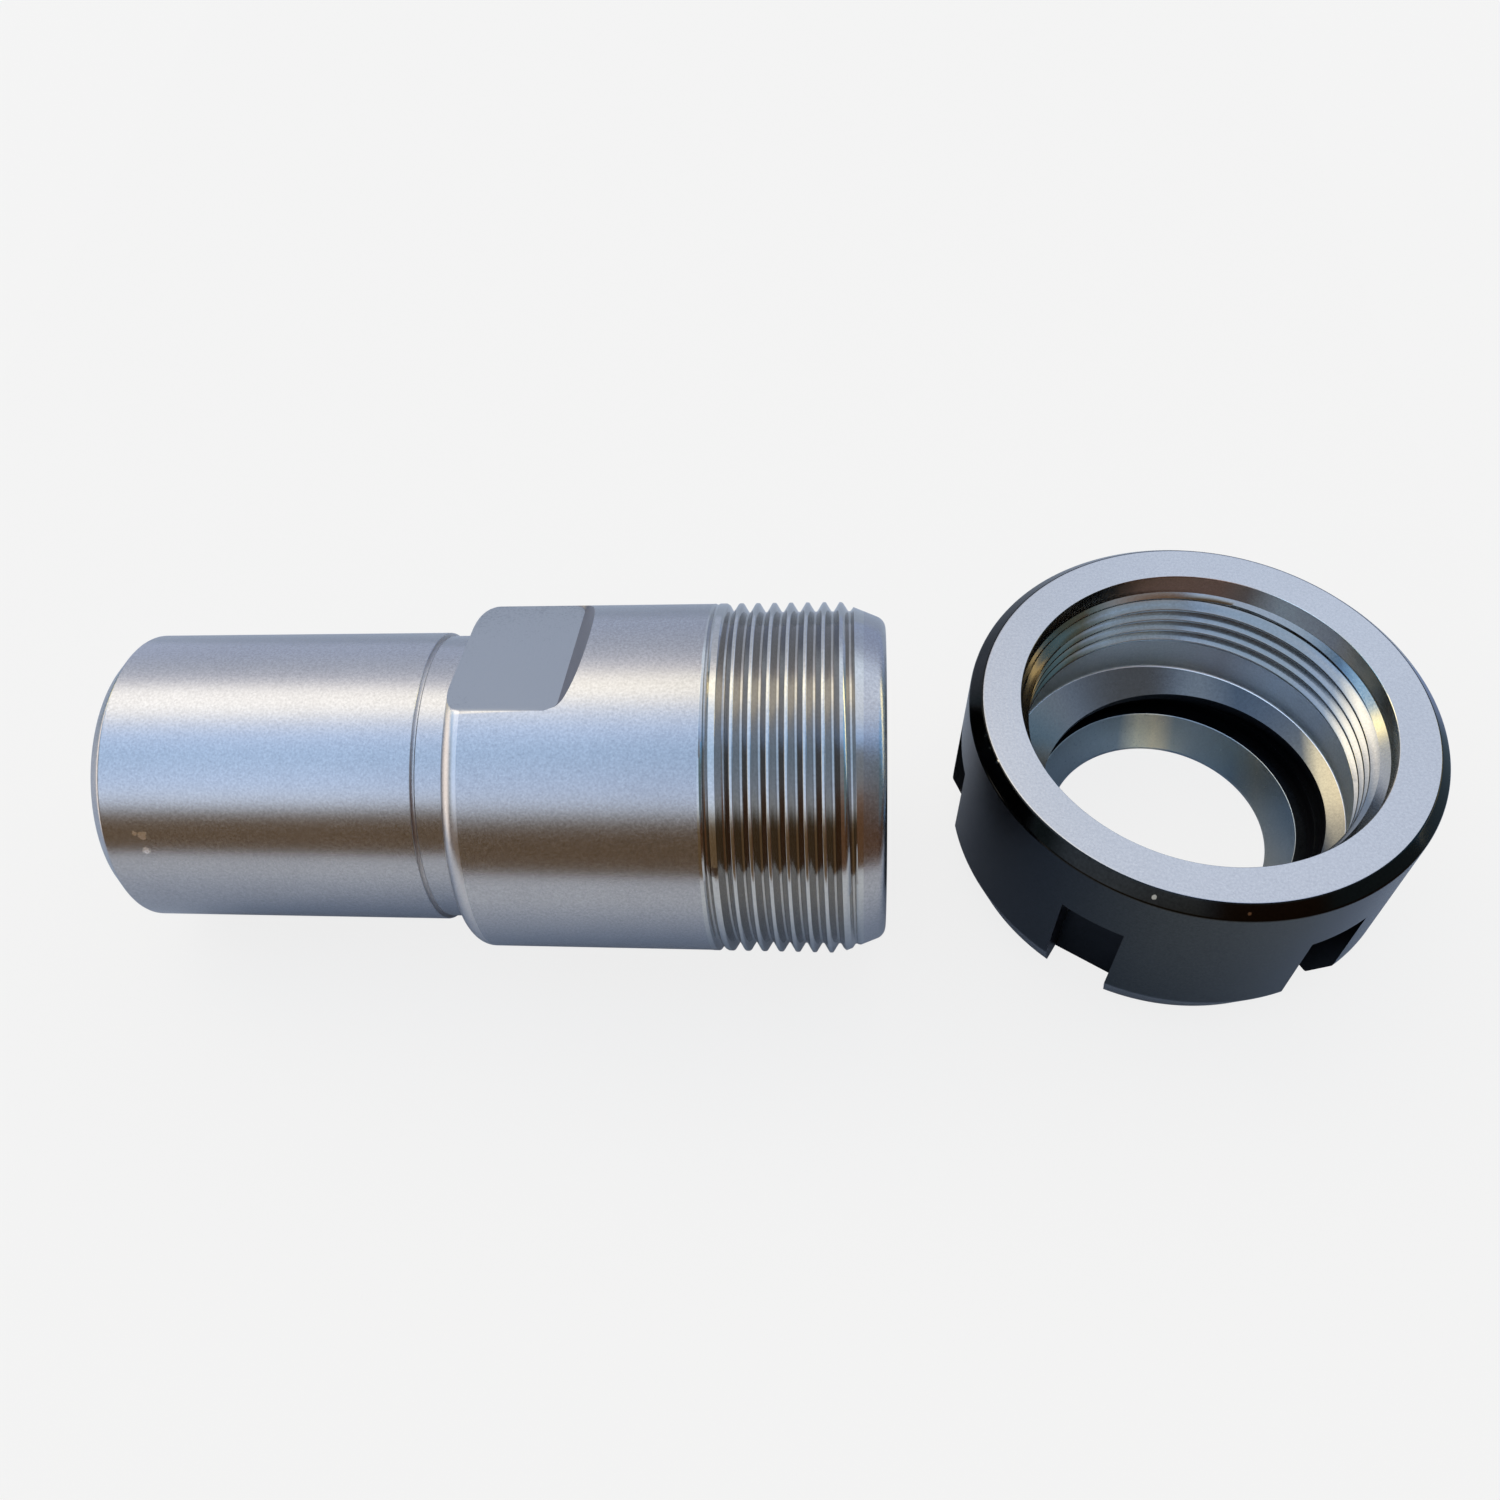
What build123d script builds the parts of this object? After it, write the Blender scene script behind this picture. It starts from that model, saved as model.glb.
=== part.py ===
from build123d import *
from math import acos, atan, cos, degrees, radians, sin, tan
import os

os.makedirs("parts", exist_ok=True)

# A collet chuck for a spindle, in millimetres: a turned body with a straight shank,
# and its clamping nut, which is screwed off and lies beside it on its nose face.
# The floor is Z = 0, X runs along the body towards its nose, and the origin is the
# middle of the footprint of the two pieces together.

# Thread that the body and the nut share
thread_nominal_d = 32.0
thread_pitch = 1.5
crest_allowance = 0.15

# Body, from its rear end to its nose
shank_d = 27.0
shank_length = 30.0
shank_chamfer = 1.4
neck_length = 3.0
neck_depth = 0.3
collar_d = 31.8
collar_length = 22.0
shoulder_chamfer_length = 1.2
shoulder_chamfer_depth = 1.1
threaded_length = 15.4
nose_taper_length = 4.0
nose_taper_angle = 22.5
nose_edge_radius = 1.2
across_flats = 27.0
flat_length = 10.0
flat_end_angle = 51.0
flat_turn = 17.0

# Inside of the body: a taper for the collet, and a plain bore behind it
collet_d = 26.0
seat_half_angle = 8.0
seat_depth = 28.0
seat_entry_chamfer = 0.4
drill_half_angle = 59.0
tail_bore_d = 12.0
tail_chamfer = 1.0

# Clamping nut, from the nose face that it lies on to its threaded face
nut_d = 42.0
nut_height = 20.5
rim_chamfer = 1.1
nose_cone_length = 4.3
nose_cone_half_angle = 22.4
opening_d = 21.2
opening_land = 0.3
collet_cone_half_angle = 30.0
lip_height = 3.6
groove_width = 1.3
groove_d = 27.8
ring_cone_angle = 28.0
ring_clearance = 0.8
ring_offset = 1.2
ring_turn = 5.0
relief_base = 7.15
relief_height = 4.05
relief_clearance = 0.3
recess_clearance = 0.8
recess_depth = 2.2
slot_count = 6
slot_width = 5.8
slot_height = 13.3
slot_depth = 3.85

# Where the nut lies, measured from the centre of the body's mouth
nut_spacing = 28.6
nut_set_back = 6.4

# Radii and places that follow from the sizes above
shank_r = shank_d / 2
neck_r = shank_r - neck_depth
collar_r = collar_d / 2
crest_r = (thread_nominal_d - crest_allowance) / 2
nut_minor_r = (thread_nominal_d - 1.0825 * thread_pitch) / 2
thread_start_x = -threaded_length
nose_end_r = crest_r - nose_taper_length * tan(radians(nose_taper_angle))
shoulder_x = thread_start_x - collar_length
neck_start_x = shoulder_x - neck_length
tail_x = neck_start_x - shank_length
flat_distance = across_flats / 2

# The body lies on the rim of its shank and on its collar, so its axis rises a little
# towards the nose. The collar meets the floor either at the corner where the lower
# wrench flat leaves the shoulder, or where the full round begins beyond that flat.
flat_half_angle = degrees(acos(flat_distance / collar_r))
corner_height = collar_r * cos(radians(flat_half_angle - flat_turn))
flat_wall_reach = collar_r * cos(radians(flat_turn)) - flat_distance
shank_rim_x = tail_x + shank_chamfer
collar_rim_x = shoulder_x + shoulder_chamfer_length
flat_end_x = shoulder_x + flat_length
full_round_x = flat_end_x + flat_wall_reach / tan(radians(flat_end_angle))
corner_angle = atan((corner_height - shank_r) / (collar_rim_x - shank_rim_x))
full_round_angle = atan((collar_r - shank_r) / (full_round_x - shank_rim_x))
lie_angle = degrees(max(corner_angle, full_round_angle))
axis_run = cos(radians(lie_angle))
axis_rise = sin(radians(lie_angle))
mouth_z = shank_r * axis_run - shank_rim_x * axis_rise

# The footprint's middle is the origin
tail_reach = -tail_x * axis_run + (shank_r - shank_chamfer) * axis_rise
nut_reach = nut_spacing + nut_d / 2
mouth_x = (tail_reach - nut_reach) / 2
mouth_y = (crest_r - nut_set_back - nut_d / 2) / 2
nut_x = mouth_x + nut_spacing
nut_y = mouth_y + nut_set_back

# Working planes: local X runs along the body's axis, or out from the nut's axis
axis_direction = Vector(axis_run, 0, axis_rise)
mouth = Vector(mouth_x, mouth_y, mouth_z)
body_section = Plane(origin=mouth, x_dir=axis_direction, z_dir=(0, -1, 0))
turning_axis = Axis(mouth, axis_direction)
flat_section = Plane(
    origin=mouth,
    x_dir=axis_direction,
    z_dir=Vector(0, -1, 0).rotate(Axis((0, 0, 0), axis_direction), -flat_turn),
)
nut_base = Plane(origin=(nut_x, nut_y, 0), z_dir=(0, 0, 1))
nut_section = Plane(origin=(nut_x, nut_y, 0), x_dir=(1, 0, 0), z_dir=(0, -1, 0))
nut_axis = Axis((nut_x, nut_y, 0), (0, 0, 1))

# Body: one bar turned to its steps, then bored from both ends and milled
seat_end_r = collet_d / 2 - seat_depth * tan(radians(seat_half_angle))
tail_bore_r = tail_bore_d / 2
seat_floor_x = -seat_depth - (seat_end_r - tail_bore_r) / tan(radians(drill_half_angle))
flat_cut_top = collar_r + 1.0
flat_start_x = shoulder_x - neck_length / 2
flat_wall_x = flat_end_x + (flat_cut_top - flat_distance) / tan(radians(flat_end_angle))

with BuildPart() as chuck_body:
    with BuildSketch(body_section):
        with BuildLine():
            Polyline(
                (tail_x, 0),
                (tail_x, shank_r - shank_chamfer),
                (shank_rim_x, shank_r),
                (neck_start_x, shank_r),
                (neck_start_x, neck_r),
                (shoulder_x, neck_r),
                (shoulder_x, collar_r - shoulder_chamfer_depth),
                (collar_rim_x, collar_r),
                (thread_start_x, collar_r),
                (thread_start_x, crest_r),
                (-nose_taper_length, crest_r),
                (0, nose_end_r),
                (0, 0),
                close=True,
            )
        make_face()
    revolve(axis=turning_axis)
    fillet(chuck_body.edges().sort_by(turning_axis)[-1], radius=nose_edge_radius)

    # Collet taper, its drill-pointed floor and the bore that opens at the tail
    with BuildSketch(body_section):
        with BuildLine():
            Polyline(
                (0, 0),
                (0, collet_d / 2 + seat_entry_chamfer),
                (-seat_entry_chamfer, collet_d / 2),
                (-seat_depth, seat_end_r),
                (seat_floor_x, tail_bore_r),
                (tail_x + tail_chamfer, tail_bore_r),
                (tail_x, tail_bore_r + tail_chamfer),
                (tail_x, 0),
                close=True,
            )
        make_face()
    revolve(axis=turning_axis, mode=Mode.SUBTRACT)

    # Two wrench flats, which run out over the shoulder and end in a sloping wall
    with BuildSketch(flat_section):
        with BuildLine():
            Polyline(
                (flat_start_x, flat_distance),
                (flat_end_x, flat_distance),
                (flat_wall_x, flat_cut_top),
                (flat_start_x, flat_cut_top),
                close=True,
            )
        make_face()
        mirror(about=Plane.XZ)
    extrude(amount=collar_d, both=True, mode=Mode.SUBTRACT)

# Nut: outside, collet cone, extraction groove and thread bore in one section
nut_r = nut_d / 2
nose_face_r = nut_r - nose_cone_length * tan(radians(nose_cone_half_angle))
opening_r = opening_d / 2
lip_r = opening_r + (lip_height - opening_land) * tan(radians(collet_cone_half_angle))
groove_top = lip_height + groove_width
ring_r = (collet_d + ring_clearance) / 2
relief_r = (thread_nominal_d + relief_clearance) / 2
ring_edge_r = relief_r - (relief_base - groove_top) / tan(radians(ring_cone_angle))
relief_top = relief_base + relief_height
thread_run_in = relief_r - nut_minor_r
recess_r = (thread_nominal_d + recess_clearance) / 2
recess_base = nut_height - recess_depth
recess_run_in = recess_r - nut_minor_r
slot_cut = slot_depth + 1.0

with BuildPart() as clamping_nut:
    with BuildSketch(nut_section):
        with BuildLine():
            Polyline(
                (opening_r, 0),
                (nose_face_r, 0),
                (nut_r, nose_cone_length),
                (nut_r, nut_height - rim_chamfer),
                (nut_r - rim_chamfer, nut_height),
                (recess_r, nut_height),
                (recess_r, recess_base),
                (nut_minor_r, recess_base - recess_run_in),
                (nut_minor_r, relief_top + thread_run_in),
                (relief_r, relief_top),
                (relief_r, relief_base),
                (ring_edge_r, groove_top),
                (groove_d / 2, groove_top),
                (groove_d / 2, lip_height),
                (lip_r, lip_height),
                (opening_r, opening_land),
                close=True,
            )
        make_face()
    revolve(axis=nut_axis)

    # The extraction ring is bored off centre, so that one side of it stands in the
    # collet's groove and pulls the collet out as the nut is unscrewed
    with BuildSketch(nut_base.offset(groove_top)):
        with PolarLocations(ring_offset, 1, start_angle=ring_turn):
            Circle(ring_r)
    extrude(amount=relief_base - groove_top, mode=Mode.SUBTRACT)

    # Slots for a hook spanner, open to the wall and to the nose face
    with BuildSketch(nut_base):
        with PolarLocations(nut_r - slot_depth + slot_cut / 2, slot_count):
            Rectangle(slot_cut, slot_width)
    extrude(amount=slot_height, mode=Mode.SUBTRACT)

chuck_body.part.label = "chuck_body"
clamping_nut.part.label = "clamping_nut"
export_step(chuck_body.part, "parts/chuck_body.step")
export_step(clamping_nut.part, "parts/clamping_nut.step")
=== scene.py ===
import bpy
import bmesh
import math
import numpy as np
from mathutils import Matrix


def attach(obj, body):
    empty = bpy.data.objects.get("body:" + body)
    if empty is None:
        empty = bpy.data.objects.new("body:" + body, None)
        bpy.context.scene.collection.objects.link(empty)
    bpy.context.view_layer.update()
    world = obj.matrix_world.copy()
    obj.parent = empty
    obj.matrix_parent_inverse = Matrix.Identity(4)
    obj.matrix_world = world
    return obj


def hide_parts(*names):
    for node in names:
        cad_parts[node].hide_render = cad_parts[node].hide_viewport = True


# A collet chuck laid out for its picture: the body on its side at the left, its nose
# slightly raised, and the clamping nut unscrewed and put down beside the nose.
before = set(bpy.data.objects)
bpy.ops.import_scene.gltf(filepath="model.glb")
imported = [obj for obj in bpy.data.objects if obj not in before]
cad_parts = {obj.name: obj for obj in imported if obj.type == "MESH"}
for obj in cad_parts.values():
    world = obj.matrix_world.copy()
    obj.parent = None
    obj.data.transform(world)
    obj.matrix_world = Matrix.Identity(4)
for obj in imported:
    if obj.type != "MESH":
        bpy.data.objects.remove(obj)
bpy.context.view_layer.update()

# The chuck body
# One bar of alloy steel, turned, hardened and ground to a soft satin. A fine thread is cut on
# its nose and two flats for the spanner are milled behind it.
mm = 0.001
lean = math.radians(3.256125)
mouth = np.array((10.6868, -5.7375, 17.3974)) * mm
along = np.array((math.cos(lean), 0.0, math.sin(lean)))
upward = np.array((-math.sin(lean), 0.0, math.cos(lean)))
sideways = np.array((0.0, 1.0, 0.0))

# Places in millimetres along the bar from its mouth, radii in millimetres from its axis
tail_at, shank_r, shank_chamfer, bore_r, bore_chamfer = -70.4, 13.5, 1.4, 6.0, 1.0
neck_at, neck_r, neck_line_r = -40.4, 13.2, 13.06
shoulder_at, shoulder_edge, collar_r = -37.4, 1.75, 15.9
flat_reach, flat_end, flat_corner, wall_bow = 13.5, -27.4, 1.0, 0.18
flat_turn, flat_slope = math.radians(17), math.tan(math.radians(51))
flat_half = math.acos(flat_reach / collar_r)
flat_half_width = collar_r * math.sin(flat_half)
thread_at, thread_end, run_out, thread_shift = -15.4, -1.93, 2.4, 0.31
pitch, crest_r, thread_depth, crest_share = 1.5, 15.925, 0.845, 0.12
taper_end_r, taper_slope, nose_edge = 14.27, math.tan(math.radians(22.5)), 1.2
seat_r, seat_chamfer, seat_end, seat_end_r, seat_floor = 13.0, 0.4, -28.0, 9.065, -29.84


def softened(profile):
    """A turned outline, given as (along, radius, edge break), with its edges broken."""
    out = []
    for i, (x, r, edge) in enumerate(profile):
        here = np.array((x, r))
        if not edge:
            out.append(here)
            continue
        before = np.array(profile[i - 1][:2]) - here
        after = np.array(profile[(i + 1) % len(profile)][:2]) - here
        before /= np.linalg.norm(before)
        after /= np.linalg.norm(after)
        for t in np.linspace(0, 1, 4):
            out.append(here + edge * (before * (1 - t) ** 2 + after * t ** 2))
    return out


def skin(name, rings, finishes, materials):
    """One closed steel skin from rings of points; finishes[i] is the material after ring i."""
    mesh = bpy.data.meshes.new(name)
    bm = bmesh.new()
    verts = [[bm.verts.new(p) for p in ring] for ring in rings]
    for i, ring in enumerate(verts):
        following = verts[(i + 1) % len(verts)]
        finish = np.broadcast_to(finishes[i], len(ring))
        for a, b, c, d, slot in zip(ring, ring[1:], following[1:], following, finish):
            face = bm.faces.new((a, b, c, d))
            face.material_index = int(slot)
            face.smooth = True
    bmesh.ops.remove_doubles(bm, verts=bm.verts, dist=0.0008 * mm)
    bmesh.ops.dissolve_degenerate(bm, edges=bm.edges, dist=0.0004 * mm)
    bmesh.ops.recalc_face_normals(bm, faces=bm.faces)
    bm.to_mesh(mesh)
    bm.free()
    mesh.set_sharp_from_angle(angle=math.radians(28))
    piece = bpy.data.objects.new(name, mesh)
    bpy.context.scene.collection.objects.link(piece)
    for material in materials:
        mesh.materials.append(material)
    even = piece.modifiers.new("even shading", "WEIGHTED_NORMAL")
    even.keep_sharp = True
    return piece


# Directions round the body, closer over the flats than between them, the last on the first
flat_edges = [flat_turn - flat_half, flat_turn + flat_half,
              flat_turn + math.pi - flat_half, flat_turn + math.pi + flat_half]
flat_edges.append(flat_edges[0] + 2 * math.pi)
steps = 52, 92, 52, 92
turns = [np.linspace(a, b, n, endpoint=False) for a, b, n in zip(flat_edges, flat_edges[1:], steps)]
turns = np.append(np.concatenate(turns), flat_edges[-1])
advance = pitch * (turns - turns[0]) / (2 * math.pi)
from_flat = np.mod(turns - flat_turn + math.pi / 2, math.pi) - math.pi / 2
flat_limit = flat_reach / np.maximum(np.cos(from_flat), 0.2)
over_flat = np.append(np.abs(from_flat[:-1] + np.diff(turns) / 2) < flat_half, False)
body_rings, body_finishes = [], []
GROUND, MILLED, SHADED_WALL, CREST, SHADED_VALLEY, EDGE_HIGHLIGHT = range(6)


def body_ring(s, r, finish=GROUND):
    s = np.broadcast_to(np.asarray(s, float), turns.shape) * mm
    r = np.broadcast_to(np.asarray(r, float), turns.shape) * mm
    body_rings.append(mouth + np.outer(s, along) + np.outer(r * np.cos(turns), upward)
                      + np.outer(r * np.sin(turns), sideways))
    body_finishes.append(finish)


# The bore, the shank with its broken edges, and the fine line where the neck begins
tail = softened([
    (seat_floor, bore_r, 0), (tail_at + bore_chamfer, bore_r, 0), (tail_at, bore_r + bore_chamfer, 0.1),
    (tail_at, shank_r - shank_chamfer, 0.12), (tail_at + shank_chamfer, shank_r, 0.2),
    (neck_at, shank_r, 0.12), (neck_at, neck_line_r, 0), (neck_at + 0.2, neck_line_r, 0),
    (neck_at + 0.32, neck_r, 0.03), (shoulder_at, neck_r, 0),
])
# The fine line at the neck takes the bright edge finish, a painted highlight.
for s, r in tail[:-1]:
    in_line = neck_at - 0.1 < s < neck_at + 0.25 and r < shank_r - 0.05
    body_ring(s, r, EDGE_HIGHLIGHT if in_line else GROUND)

# The shoulder with its rounded edge, then the flats and their sloping end walls
rim_r = np.minimum(collar_r, flat_limit)
body_ring(shoulder_at, neck_r)
# The shoulder's rounded edge takes the bright edge finish, a painted highlight.
for a in np.radians(np.linspace(0, 90, 11)):
    r = np.minimum(collar_r - shoulder_edge * (1 - math.sin(a)), rim_r)
    lift = np.clip((r - collar_r) / shoulder_edge + 1, 0, 1)
    body_ring(shoulder_at + shoulder_edge * (1 - np.sqrt(1 - lift ** 2)), r, EDGE_HIGHLIGHT)
body_finishes[-1] = np.where(over_flat, MILLED, GROUND)
wall_height = np.maximum(collar_r * np.cos(from_flat) - flat_reach, 0)
past_corner = np.abs(collar_r * np.sin(from_flat)) - (flat_half_width - flat_corner)
past_corner = np.clip(past_corner / flat_corner, 0, 1)
wall_foot = flat_end - flat_corner * (1 - np.sqrt(1 - past_corner ** 2))
wall_run = wall_height / flat_slope + wall_bow * np.sin(math.pi * wall_height / (collar_r - flat_reach))
# Over the flats the end wall takes a milled finish darkened as painted shade.
body_ring(wall_foot, rim_r, np.where(over_flat, SHADED_WALL, GROUND))
body_ring(wall_foot + wall_run, collar_r)
body_ring(thread_at, collar_r)

# One pitch of the thread: places along it, and the share of the thread's depth cut away there
thread_form = [(-0.75, 1.0), (-0.66, 0.985), (-0.61, 0.93), (-0.38, 0.49), (-0.155, 0.045),
               (-0.125, 0.012), (-0.09, 0.0), (0.0, 0.0), (0.09, 0.0), (0.125, 0.012), (0.155, 0.045),
               (0.38, 0.49), (0.61, 0.93), (0.66, 0.985)]

# The thread runs out of the collar in shallowing grooves, and the nose's taper cuts its end
thread_rows = []
for k in range(int((thread_end - thread_at) / pitch) + 3):
    for offset, cut in thread_form:
        s = np.clip(thread_at + k * pitch + offset - advance - thread_shift, thread_at, thread_end)
        rise = thread_depth * (1 - np.clip((s - thread_at) / run_out, 0, 1)) ** 1.5
        uncut = np.minimum(crest_r, taper_end_r - s * taper_slope)
        thread_rows.append((s, np.minimum(crest_r - thread_depth * cut + rise, uncut), uncut))
# Rings sunk deeper than the crests' share take the valley finish, darkened as painted shade in the thread's
# hollows.
for (s, r, uncut), (_, next_r, next_uncut) in zip(thread_rows, thread_rows[1:] + thread_rows[-1:]):
    sunk = (uncut + next_uncut - r - next_r) / 2
    body_ring(s, r, np.where(sunk > crest_share * thread_depth, SHADED_VALLEY, CREST))
body_finishes[-1] = GROUND

# The nose's rounded edge, between its taper and the mouth, and the collet's seat inside
edge_centre_r = taper_end_r - nose_edge * math.tan(math.radians(33.75))
for a in np.radians(np.linspace(22.5, 90, 9)):
    body_ring(nose_edge * (math.sin(a) - 1), edge_centre_r + nose_edge * math.cos(a))
seat = softened([(0.0, edge_centre_r, 0), (0.0, seat_r + seat_chamfer, 0.06), (-seat_chamfer, seat_r, 0.08),
                 (seat_end, seat_end_r, 0)])
for s, r in seat[1:]:
    body_ring(s, r)


def takes(tree, value, socket):
    """Gives a socket its number, its colour, or what another socket sends."""
    if isinstance(value, bpy.types.NodeSocket):
        tree.links.new(value, socket)
    else:
        socket.default_value = (*value, 1) if isinstance(value, tuple) else value


def place(tree):
    return tree.nodes.new("ShaderNodeTexCoord").outputs["Object"]


def parted(tree, vector):
    node = tree.nodes.new("ShaderNodeSeparateXYZ")
    tree.links.new(vector, node.inputs["Vector"])
    return node.outputs


def noise(tree, where, scale, detail, rough=0.5):
    """Fine noise through space, or along a line where its place is a single number."""
    node = tree.nodes.new("ShaderNodeTexNoise")
    on_line = where.type == "VALUE"
    if on_line:
        node.noise_dimensions = "1D"
    tree.links.new(where, node.inputs["W" if on_line else "Vector"])
    node.inputs["Scale"].default_value = scale
    node.inputs["Detail"].default_value = detail
    node.inputs["Roughness"].default_value = rough
    return node.outputs["Fac"]


def reckoned(tree, operation, *values):
    node = tree.nodes.new("ShaderNodeMath")
    node.operation = operation
    for value, socket in zip(values, node.inputs):
        takes(tree, value, socket)
    return node.outputs["Value"]


def share(tree, value, start, end, at_start=0.0, at_end=1.0):
    """How far a value has come from start to end, held at both."""
    node = tree.nodes.new("ShaderNodeMapRange")
    for name, number in zip(("From Min", "From Max", "To Min", "To Max"), (start, end, at_start, at_end)):
        node.inputs[name].default_value = number
    tree.links.new(value, node.inputs["Value"])
    return node.outputs["Result"]


def shaded(tree, value, stops):
    """The colour for a value from nought to one, from stops of (value, colour)."""
    node = tree.nodes.new("ShaderNodeValToRGB")
    while len(node.color_ramp.elements) < len(stops):
        node.color_ramp.elements.new(0.5)
    for element, (position, colour) in zip(node.color_ramp.elements, stops):
        element.position = position
        element.color = (*colour, 1)
    tree.links.new(value, node.inputs["Fac"])
    return node.outputs["Color"]


def blended(tree, amount, first, second, kind="MIX"):
    """One colour over another, by a share of the second."""
    node = tree.nodes.new("ShaderNodeMix")
    node.data_type = "RGBA"
    node.blend_type = kind
    takes(tree, amount, node.inputs["Factor"])
    for value, socket in zip((first, second), [s for s in node.inputs if s.type == "RGBA"]):
        takes(tree, value, socket)
    return [s for s in node.outputs if s.type == "RGBA"][0]


def bumped(tree, height, strength, distance):
    node = tree.nodes.new("ShaderNodeBump")
    node.inputs["Strength"].default_value = strength
    node.inputs["Distance"].default_value = distance
    tree.links.new(height, node.inputs["Height"])
    return node


def steel(name, light, dark, rough, grain, lines, lathe_at, lathe_turn, cloud=0.3):
    """Steel with a fine grain, lathe lines about its own axis, and faint clouding."""
    material = bpy.data.materials.new(name)
    material.use_nodes = True
    tree = material.node_tree
    shader = tree.nodes["Principled BSDF"]
    shader.inputs["Metallic"].default_value = 1.0
    where = place(tree)
    fine = noise(tree, where, 4300, 4, 0.7)
    stain = reckoned(tree, "MULTIPLY", noise(tree, where, 45, 6), cloud)
    middle = (1 + cloud) / 2
    tone = shaded(tree, reckoned(tree, "ADD", fine, stain), [(middle - 0.20, dark), (middle + 0.20, light)])
    tree.links.new(tone, shader.inputs["Base Color"])
    tree.links.new(share(tree, fine, 0, 1, rough * 0.75, rough * 1.25), shader.inputs["Roughness"])

    on_lathe = tree.nodes.new("ShaderNodeMapping")
    on_lathe.vector_type = "TEXTURE"
    on_lathe.inputs["Location"].default_value = lathe_at
    on_lathe.inputs["Rotation"].default_value = (0, lathe_turn, 0)
    tree.links.new(where, on_lathe.inputs["Vector"])
    on_axis = parted(tree, on_lathe.outputs["Vector"])
    across = tree.nodes.new("ShaderNodeCombineXYZ")
    tree.links.new(on_axis["Y"], across.inputs["Y"])
    tree.links.new(on_axis["Z"], across.inputs["Z"])
    radius = tree.nodes.new("ShaderNodeVectorMath")
    radius.operation = "LENGTH"
    tree.links.new(across.outputs["Vector"], radius.inputs[0])
    tool_way = reckoned(tree, "ADD", on_axis["X"], radius.outputs["Value"])
    scored = bumped(tree, noise(tree, tool_way, 4200, 3), lines, 0.02 * mm)
    speckled = bumped(tree, fine, grain, 0.016 * mm)
    tree.links.new(scored.outputs["Normal"], speckled.inputs["Normal"])
    tree.links.new(speckled.outputs["Normal"], shader.inputs["Normal"])
    return material


def bruise(material, spots, colour):
    """Small ragged marks of another tone, each given as its place and its radius."""
    tree = material.node_tree
    base = tree.nodes["Principled BSDF"].inputs["Base Color"]
    where = place(tree)
    ragged = noise(tree, where, 3200, 3)
    for middle, radius in spots:
        away = tree.nodes.new("ShaderNodeVectorMath")
        away.operation = "DISTANCE"
        tree.links.new(where, away.inputs[0])
        away.inputs[1].default_value = tuple(middle)
        edge = reckoned(tree, "MULTIPLY_ADD", ragged, 2 * radius, away.outputs["Value"])
        near = share(tree, edge, 2.1 * radius, 1.8 * radius)
        tree.links.new(blended(tree, near, base.links[0].from_socket, colour), base)


def on_body(s, r, degrees):
    around = math.radians(degrees)
    return mouth + along * s * mm + r * mm * (math.cos(around) * upward + math.sin(around) * sideways)


# Each finish has its light and dark tones, its roughness, its grain and its lathe lines
lathe = tuple(mouth), -lean
ground = steel("ground steel", (0.51, 0.51, 0.525), (0.35, 0.35, 0.365), 0.24, 0.30, 0.10, *lathe)
milled = steel("milled flat", (0.38, 0.40, 0.425), (0.28, 0.30, 0.32), 0.38, 0.55, 0.45, *lathe, cloud=1.0)
# The end wall's milled finish is darkened as painted shade.
wall_shade = steel("milled end wall in painted shade", (0.26, 0.25, 0.27), (0.19, 0.18, 0.20), 0.40, 0.35, 0.10, *lathe)
crested = steel("thread crests", (0.56, 0.56, 0.55), (0.44, 0.44, 0.43), 0.16, 0.12, 0.10, *lathe)
# The thread's valley finish is darker than the crests as painted shade.
valley_shade = steel("thread valleys", (0.42, 0.41, 0.395), (0.33, 0.32, 0.305), 0.12, 0.10, 0.10, *lathe)
# The bright edge finish is a painted highlight.
edge_highlight = steel("shoulder edge painted highlight", (0.63, 0.615, 0.615), (0.51, 0.50, 0.50), 0.30, 0.30, 0.10, *lathe)

# Two nicks and a scrape on the shank, and a small dark spot where the thread begins
nicks = [(on_body(-65.3, 13.5, -58.4), 0.42 * mm), (on_body(-65.9, 13.5, -57.8), 0.25 * mm),
         (on_body(-65.2, 13.5, -65.0), 0.36 * mm)]
bruise(ground, nicks, (0.85, 0.85, 0.86))
dark_thread_spots = [(on_body(-14.1, 15.9, -64.6), 0.55 * mm), (on_body(-13.2, 15.8, -62.0), 0.40 * mm)]
bruise(crested, dark_thread_spots, (0.20, 0.18, 0.17))
body = skin("chuck_body_steel", body_rings, body_finishes, (ground, milled, wall_shade, crested, valley_shade, edge_highlight))
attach(body, "root")
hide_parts("chuck_body")

# The clamping nut
# One ring of alloy steel, blackened all over and then turned bright on its threaded face and
# inside. Six slots take a hook spanner, and a ring bored off centre pulls the collet out.
nut_centre = np.array((39.2868, 0.6625, 0.0)) * mm
nut_r, nut_height, rim_chamfer, nose_face_r, nose_cone_top = 21.0, 20.5, 1.1, 19.228, 4.3
slot_floor, slot_half, slot_top, sector = 17.15, 2.9, 13.3, math.radians(60)
recess_r, recess_base, nut_thread_r, nut_thread_depth, nut_thread_at = 16.4, 18.3, 15.19, 0.85, 18.0
relief_r, relief_top, relief_base, cone_slope = 16.15, 11.2, 7.15, math.tan(math.radians(28))
ring_bore, ring_off, ring_turn, groove_top, groove_r = 13.4, 1.2, math.radians(5), 4.9, 13.9
lip_top, lip_r, opening_land, opening_r = 3.6, 12.505, 0.3, 10.6
face_r, rim_base = nut_r - rim_chamfer, nut_height - rim_chamfer
slot_corner_r = math.hypot(slot_floor, slot_half)
slot_angle = math.asin(slot_half / nut_r)

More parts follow.
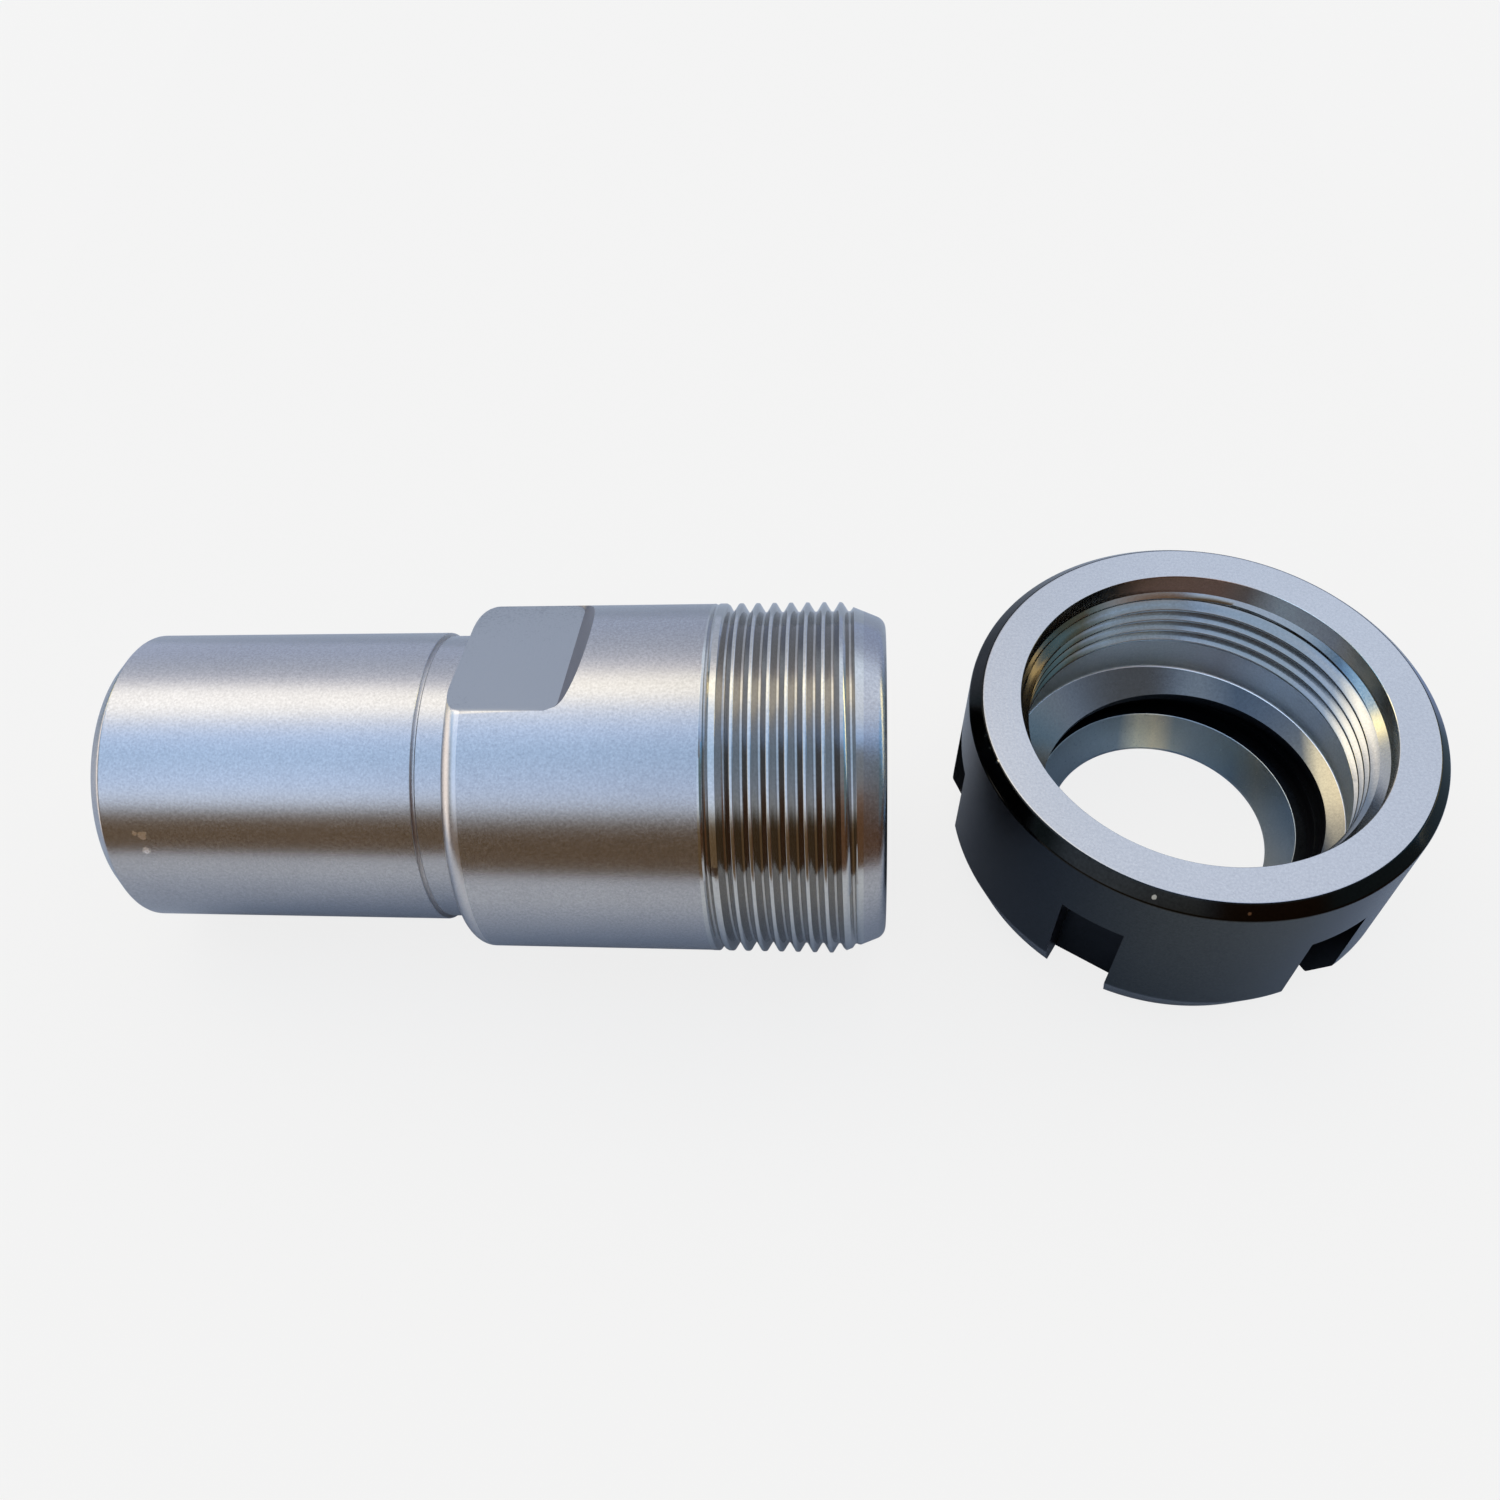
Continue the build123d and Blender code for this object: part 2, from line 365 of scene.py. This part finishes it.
# Angles round the nut, with nine points across each slot and 37 from one slot to the next
in_slot, way_round, across = [], [], []
for k in range(6):
    for x in np.linspace(-slot_half, slot_half, 9):
        in_slot.append(True)
        way_round.append(k * sector + math.asin(x / nut_r))
        across.append(x)
    for a in np.linspace(slot_angle, sector - slot_angle, 37):
        in_slot.append(False)
        way_round.append(k * sector + a)
        across.append(0.0)
in_slot = np.array(in_slot + in_slot[:1])
way_round = np.array(way_round + [way_round[0] + 2 * math.pi])
across = np.array(across + across[:1])
slot_middle = np.where(in_slot, np.round(way_round / sector) * sector, 0)
in_cut = np.append(in_slot[:-1] | in_slot[1:], False)
nut_rings, nut_finishes = [], []
BRIGHT, BLACK, RIM, SHADED_BLACK, RECESS, NUT_THREAD, RELIEF, SHADED_CONE, LIP, GLINT = range(10)


def nut_ring(z, r, finish):
    r = np.broadcast_to(np.asarray(r, float), way_round.shape)
    z = np.broadcast_to(np.asarray(z, float), way_round.shape)
    nut_rings.append(nut_centre + np.stack((r * np.cos(way_round), r * np.sin(way_round), z), 1) * mm)
    nut_finishes.append(finish)


def wall_ring(z, r, ceiling=False):
    """A ring of the outside, whose points dip to the slots' floors below the slots' tops."""
    edge = math.asin(slot_half / r)
    from_edge = np.mod(way_round, sector) - slot_angle
    spread = np.floor(way_round / sector + 1e-9) * sector + edge
    spread = spread + from_edge / (sector - 2 * slot_angle) * (sector - 2 * edge)
    angles = np.where(in_slot, way_round, spread)
    points = np.stack((r * np.cos(angles), r * np.sin(angles), np.full_like(angles, z)), 1)
    if not ceiling:
        floor = np.stack((slot_floor * np.cos(slot_middle) - across * np.sin(slot_middle),
                          slot_floor * np.sin(slot_middle) + across * np.cos(slot_middle),
                          np.full_like(angles, z)), 1)
        points = np.where(in_slot[:, None], floor, points)
    nut_rings.append(nut_centre + points * mm)
    # In the slots the wall takes the darkest black, as painted shade.
    nut_finishes.append(BLACK if ceiling else np.where(in_cut, SHADED_BLACK, BLACK))


# The nose cone and the slotted wall, then the plain wall, the rim, the face and the recess
outside = softened([(0.0, slot_corner_r, 0), (0.0, nose_face_r, 0.25), (nose_cone_top, nut_r, 0.25),
                    (slot_top, nut_r, 0)])
for z, r in outside:
    wall_ring(z, r)
wall_ring(slot_top, nut_r, ceiling=True)
upper = softened([(slot_top, nut_r, 0), (rim_base, nut_r, 0.18), (nut_height, face_r, 0.15),
                  (nut_height, recess_r, 0.12), (recess_base, recess_r, 0)])
for z, r in upper[1:-1]:
    on_face = z > nut_height - 0.01 or r > recess_r + 0.6
    nut_ring(z, r, BLACK if z < rim_base - 0.1 else RIM if r > face_r else BRIGHT if on_face else RECESS)

# The internal thread, between the recess and the relief
nut_advance = pitch * (way_round - way_round[0]) / (2 * math.pi)
for k in range(8):
    for offset, cut in reversed(thread_form):
        z = np.clip(nut_thread_at - k * pitch + offset + nut_advance, relief_top, recess_base)
        run_in = np.maximum(relief_r - (z - relief_top), recess_r - (recess_base - z))
        nut_ring(z, np.maximum(nut_thread_r + nut_thread_depth * cut, run_in), NUT_THREAD)
nut_finishes[-1] = RELIEF

# The relief's foot, the cone down to the ring that is bored off centre, and the ring itself
foot = softened([(relief_top, relief_r, 0), (relief_base, relief_r, 0.12),
                 (relief_base - cone_slope, relief_r - 1.0, 0)])
# The cone takes a finish darkened as painted shade.
for z, r in foot[1:-1]:
    nut_ring(z, r, SHADED_CONE if r < relief_r - 0.1 else GLINT)
toward = ring_off * np.cos(way_round - ring_turn)
ring_r = toward + np.sqrt(toward ** 2 - ring_off ** 2 + ring_bore ** 2)
# The ring's bore and underside take the same black, as painted shade.
nut_ring(relief_base - (relief_r - ring_r) * cone_slope, ring_r, SHADED_BLACK)
nut_ring(groove_top, ring_r, SHADED_BLACK)

# The groove behind the ring, the collet's cone and the opening in the nose face
lip = softened([(groove_top, groove_r, 0), (lip_top, groove_r, 0), (lip_top, lip_r, 0.06),
                (opening_land, opening_r, 0), (0.0, opening_r, 0)])
# The groove's walls take the same black, as painted shade.
for z, r in lip:
    nut_ring(z, r, SHADED_BLACK if r > 13 else BLACK if z < 0.01 else LIP)


def reflections_painted_along(material, stops):
    """A painted reflection that changes along the row, given as the place in millimetres and its colour."""
    tree = material.node_tree
    base = tree.nodes["Principled BSDF"].inputs["Base Color"]
    first, last = stops[0][0], stops[-1][0]
    reach = share(tree, parted(tree, place(tree))["X"], first * mm, last * mm)
    reflection_tint = shaded(tree, reach, [((x - first) / (last - first), colour) for x, colour in stops])
    tree.links.new(blended(tree, 1.0, base.links[0].from_socket, reflection_tint, "MULTIPLY"), base)


def on_nut(degrees, r, z):
    around = math.radians(degrees)
    return nut_centre + np.array((r * math.cos(around), r * math.sin(around), z)) * mm


lathe = tuple(nut_centre), -math.pi / 2
bright = steel("turned nut face", (0.47, 0.48, 0.505), (0.38, 0.39, 0.415), 0.24, 0.15, 0.12, *lathe)
blackened = steel("blackened wall", (0.049, 0.056, 0.062), (0.029, 0.034, 0.038), 0.24, 0.10, 0.08, *lathe)
glossy = steel("glossy black rim", (0.026, 0.026, 0.024), (0.015, 0.015, 0.014), 0.14, 0.05, 0.06, *lathe)
# This finish is painted shade: darker than the blackened wall in the slots, and black in the ring's bore and
# the groove behind the ring.
slotted = steel("black slots and groove in painted shade", (0.014, 0.015, 0.018), (0.007, 0.008, 0.009), 0.30, 0.10, 0.04, *lathe)
recessed = steel("recess wall", (0.40, 0.40, 0.40), (0.27, 0.27, 0.27), 0.20, 0.05, 0.08, *lathe)
nut_threaded = steel("turned nut thread", (0.64, 0.64, 0.62), (0.52, 0.52, 0.50), 0.20, 0.05, 0.06, *lathe)
relieved = steel("turned relief", (0.68, 0.68, 0.67), (0.55, 0.55, 0.54), 0.42, 0.02, 0.04, *lathe)
# The ring cone's finish is darkened as painted shade.
cone_shade = steel("turned ring cone in painted shade", (0.25, 0.25, 0.24), (0.18, 0.18, 0.175), 0.18, 0.04, 0.08, *lathe)
lipped = steel("turned collet cone", (0.66, 0.66, 0.65), (0.55, 0.55, 0.54), 0.30, 0.03, 0.05, *lathe)
glinting = steel("bright relief edge", (0.93, 0.93, 0.93), (0.85, 0.85, 0.85), 0.35, 0.02, 0.02, *lathe)

# Worn specks on the black rim: where each is round the nut, its radius and height, and its size
specks = ((250.7, 20.5, 19.9, 0.19), (189.9, 20.1, 20.3, 0.16), (194.0, 20.1, 20.3, 0.13),
          (198.7, 20.0, 20.4, 0.18), (272.1, 20.5, 19.9, 0.14))
bruise(glossy, [(on_nut(a, r, z), size * mm) for a, r, z, size in specks], (0.36, 0.33, 0.27))

# The finishes' faint colours, from the nut's left to its right, are painted reflections. They
# stand for reflections, stay put in other views, and were set from tones read in the
# photograph and in renders.
reflections_painted_along(blackened, [
    (18.3, (0.30, 0.33, 0.38)), (24.0, (0.60, 0.66, 0.74)), (34.0, (1.30, 1.25, 1.12)),
    (44.0, (1.35, 1.28, 1.12)), (52.0, (0.88, 1.02, 1.20)), (60.3, (0.70, 0.88, 1.10)),
])
reflections_painted_along(recessed, [
    (22.9, (0.25, 0.26, 0.22)), (32.0, (0.38, 0.32, 0.26)), (36.0, (1.10, 0.60, 0.38)),
    (43.0, (1.00, 0.58, 0.40)), (45.5, (0.80, 0.62, 0.50)), (48.5, (1.85, 1.95, 1.90)),
    (52.5, (1.95, 1.85, 1.75)), (53.8, (2.3, 1.9, 1.4)), (55.7, (2.4, 2.35, 2.1)),
])
reflections_painted_along(lipped, [
    (26.8, (0.45, 0.55, 0.60)), (36.3, (0.55, 0.64, 0.72)), (38.3, (1.55, 1.42, 1.12)),
    (40.0, (1.50, 1.35, 1.05)), (42.0, (0.55, 0.66, 0.76)), (47.5, (0.50, 0.60, 0.68)),
    (49.5, (0.82, 0.78, 0.68)), (51.8, (0.62, 0.72, 0.80)),
])
reflections_painted_along(cone_shade, [
    (23.1, (0.90, 0.84, 0.74)), (44.0, (0.76, 0.74, 0.74)), (47.5, (0.32, 0.38, 0.46)),
    (52.8, (0.36, 0.42, 0.50)), (54.0, (1.6, 1.45, 1.1)), (55.5, (1.7, 1.5, 1.1)),
])
reflections_painted_along(nut_threaded, [
    (23.1, (0.20, 0.17, 0.13)), (26.5, (0.24, 0.18, 0.12)), (30.0, (0.52, 0.38, 0.26)),
    (33.0, (1.05, 1.20, 1.30)), (38.5, (1.02, 1.17, 1.28)), (42.5, (0.55, 0.56, 0.58)),
    (50.6, (0.46, 0.46, 0.46)), (53.2, (0.38, 0.44, 0.52)), (54.5, (0.88, 0.85, 0.80)),
    (55.5, (0.80, 0.77, 0.70)),
])
reflections_painted_along(relieved, [
    (23.1, (0.95, 1.00, 0.92)), (28.0, (1.10, 1.15, 1.10)), (33.0, (1.30, 1.35, 1.35)),
    (39.5, (1.00, 1.05, 1.05)), (45.5, (0.85, 0.85, 0.90)), (50.3, (1.10, 1.25, 1.40)),
    (53.6, (1.20, 1.30, 1.40)), (54.8, (1.40, 1.38, 1.30)), (55.5, (1.40, 1.38, 1.30)),
])
nut = skin("clamping_nut_steel", nut_rings, nut_finishes,
           (bright, blackened, glossy, slotted, recessed, nut_threaded, relieved, cone_shade, lipped, glinting))
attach(nut, "root")
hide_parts("clamping_nut")


# The floor
# A plain pale sheet that glows softly, wide enough to fill the picture from any side. The
# steel doesn't mirror it.
def sheet(name, quads):
    """A plain sheet of one or more quads, and its dull material's nodes."""
    mesh = bpy.data.meshes.new(name)
    bm = bmesh.new()
    for quad in quads:
        bm.faces.new([bm.verts.new(corner) for corner in quad])
    bm.to_mesh(mesh)
    bm.free()
    material = bpy.data.materials.new(name)
    material.use_nodes = True
    mesh.materials.append(material)
    laid = bpy.data.objects.new(name, mesh)
    bpy.context.scene.collection.objects.link(laid)
    return laid, material.node_tree


def paper(tree, colour, glow, gloss):
    surface = tree.nodes["Principled BSDF"].inputs
    surface["Base Color"].default_value = (*colour, 1)
    surface["Roughness"].default_value = 0.9
    surface["Specular IOR Level"].default_value = gloss
    surface["Emission Color"].default_value = (1, 1, 1, 1)
    surface["Emission Strength"].default_value = glow


floor, floor_tree = sheet("pale_floor", [[(-3, -3, 0), (3, -3, 0), (3, 3, 0), (-3, 3, 0)]])
paper(floor_tree, (0.088, 0.080, 0.068), 0.82, 0.1)
floor.visible_glossy = False

# The backdrop
# A pale wall round the sheet, so that a low view sees plain paper above the floor's edge. The
# steel doesn't mirror it.
wall_r, wall_top = 2.9, 4.0
posts = [(wall_r * math.cos(a), wall_r * math.sin(a)) for a in np.radians(np.arange(0, 365, 5))]
backdrop, backdrop_tree = sheet("backdrop", [[(*a, 0), (*b, 0), (*b, wall_top), (*a, wall_top)]
                                             for a, b in zip(posts, posts[1:])])
paper(backdrop_tree, (0, 0, 0), 0.91, 0.0)
backdrop.visible_glossy = False
backdrop.visible_diffuse = False
backdrop.visible_shadow = False

# The bench
# What the steel mirrors instead of the paper: a dull sheet that is paler towards its front
# edge, past which the room's dark brown shows, and darker and bluer towards and under the
# pieces as painted contact shade. The camera doesn't see it.
left, right, front, back, height = -0.11, 0.078, -0.112, 0.40, 0.02 * mm
bench, bench_tree = sheet("bench_top", [[(left, front, height), (right, front, height),
                                         (right, back, height), (left, back, height)]])
# The sheet darkens and turns bluer towards and under the pieces: painted contact shade.
contact_shade = share(bench_tree, parted(bench_tree, place(bench_tree))["Y"], -0.050, -0.018)
dull = shaded(bench_tree, contact_shade, [(0, (0.82, 0.78, 0.73)), (1, (0.50, 0.53, 0.58))])
surface = bench_tree.nodes["Principled BSDF"].inputs
bench_tree.links.new(dull, surface["Base Color"])
surface["Roughness"].default_value = 0.95
surface["Specular IOR Level"].default_value = 0.1
bench.visible_camera = False
bench.visible_diffuse = False
bench.visible_shadow = False

# The light
# A soft room and no lamps: cool overhead, a warm bright strip behind, and a dim brown band in
# front at eye level. It is darker at the right, and at both ends, which have a golden strip.
world = bpy.data.worlds.new("soft room")
bpy.context.scene.world = world
bpy.context.scene.view_settings.view_transform = "Standard"
world.use_nodes = True
sky = world.node_tree
parts = parted(sky, sky.nodes.new("ShaderNodeTexCoord").outputs["Generated"])
turn = reckoned(sky, "ARCTAN2", parts["Y"], parts["Z"])
part_way = share(sky, turn, -math.pi, math.pi)


def room_side(tones):
    """Tones round one side of the room, by degrees from overhead towards the back."""
    return shaded(sky, part_way, [((degrees + 180) / 360, colour) for degrees, colour in tones])


# The room's tones were worked out from colours read in the photograph and then adjusted: the
# left side down the shank, the middle down the collar, and the rest on the nut and the thread.
left_side = room_side([
    (-180, (0.30, 0.29, 0.28)), (-120, (0.20, 0.13, 0.07)), (-76, (0.21, 0.13, 0.06)),
    (-70, (0.28, 0.21, 0.13)), (-65, (0.65, 0.66, 0.68)), (-57, (1.22, 1.36, 1.58)),
    (-45, (1.05, 1.28, 1.68)), (-20, (0.80, 1.10, 1.52)), (-5, (0.97, 1.24, 1.70)),
    (8, (1.35, 1.45, 1.65)), (14, (1.85, 1.83, 1.78)), (21, (2.25, 2.17, 2.02)),
    (37, (2.20, 2.12, 1.98)), (43, (1.35, 1.32, 1.36)), (51, (0.90, 0.93, 1.05)),
    (62, (0.74, 0.80, 0.93)), (80, (0.66, 0.74, 0.94)), (140, (0.60, 0.70, 0.92)),
])
middle_side = room_side([
    (-180, (0.30, 0.29, 0.28)), (-120, (0.20, 0.13, 0.07)), (-72, (0.18, 0.11, 0.05)),
    (-66, (0.24, 0.18, 0.11)), (-60, (0.62, 0.62, 0.62)), (-54, (1.00, 1.13, 1.34)),
    (-45, (0.92, 1.10, 1.43)), (-20, (0.70, 0.98, 1.36)), (-5, (0.97, 1.22, 1.65)),
    (8, (1.30, 1.42, 1.62)), (15, (1.80, 1.76, 1.70)), (21, (2.25, 2.12, 1.82)),
    (31, (2.15, 2.02, 1.76)), (38, (1.25, 1.20, 1.22)), (46, (0.88, 0.90, 1.00)),
    (57, (0.70, 0.75, 0.87)), (80, (0.62, 0.70, 0.88)), (140, (0.66, 0.78, 1.05)),
])
right_side = room_side([
    (-180, (0.17, 0.18, 0.20)), (-120, (0.11, 0.08, 0.05)), (-72, (0.10, 0.07, 0.04)),
    (-60, (0.34, 0.38, 0.46)), (-45, (0.50, 0.68, 1.05)), (-5, (0.53, 0.76, 1.22)),
    (12, (0.95, 1.04, 1.22)), (24, (1.14, 1.22, 1.38)), (50, (1.10, 1.24, 1.46)),
    (70, (0.50, 0.58, 0.78)), (140, (0.36, 0.48, 0.78)),
])
front_corner = room_side([
    (-180, (0.12, 0.08, 0.05)), (-64, (0.17, 0.08, 0.035)), (-50, (0.25, 0.16, 0.12)),
    (-38, (0.30, 0.29, 0.31)), (-25, (0.28, 0.31, 0.36)), (180, (0.28, 0.31, 0.36)),
])
room_ends = room_side([
    (-180, (0.12, 0.12, 0.13)), (-120, (0.10, 0.05, 0.02)), (-80, (0.10, 0.035, 0.01)),
    (-72, (0.17, 0.22, 0.25)), (-10, (0.17, 0.27, 0.31)), (-1, (0.24, 0.62, 1.15)),
    (39, (0.32, 0.70, 1.20)), (45, (1.60, 1.60, 1.35)), (49, (4.20, 3.55, 1.80)),
    (59, (4.20, 3.55, 1.80)), (64, (0.80, 0.80, 0.75)), (69, (0.24, 0.36, 0.46)),
    (110, (0.22, 0.34, 0.44)), (180, (0.16, 0.20, 0.26)),
])
room = blended(sky, share(sky, parts["X"], -0.45, -0.25), left_side, middle_side)
room = blended(sky, share(sky, parts["X"], 0.03, 0.15), room, right_side)
to_front = share(sky, turn, math.radians(-4), math.radians(-15))
cornered = reckoned(sky, "MULTIPLY", to_front, share(sky, parts["X"], 0.08, 0.21))
room = blended(sky, cornered, room, front_corner)
room = blended(sky, share(sky, reckoned(sky, "ABSOLUTE", parts["X"]), 0.70, 0.79), room, room_ends)
room = blended(sky, share(sky, parts["X"], -0.87, -0.92), room, (1.65, 1.50, 1.38))
sky.links.new(room, sky.nodes["Background"].inputs["Color"])

# The camera
# It stands in front of the chuck and above it, tilted a little, and its small shift
# frames the two pieces.
lens = bpy.data.cameras.new("camera")
lens.sensor_width = 36
lens.lens = 33.678
lens.shift_x = 0.04979
lens.shift_y = -0.00776
lens.clip_start = 0.005
camera = bpy.data.objects.new("camera", lens)
camera.location = (2.857 * mm, -79.583 * mm, 123.339 * mm)
camera.rotation_euler = tuple(math.radians(degrees) for degrees in (36.3528, 2.9437, 4.58))
bpy.context.scene.collection.objects.link(camera)
bpy.context.scene.camera = camera
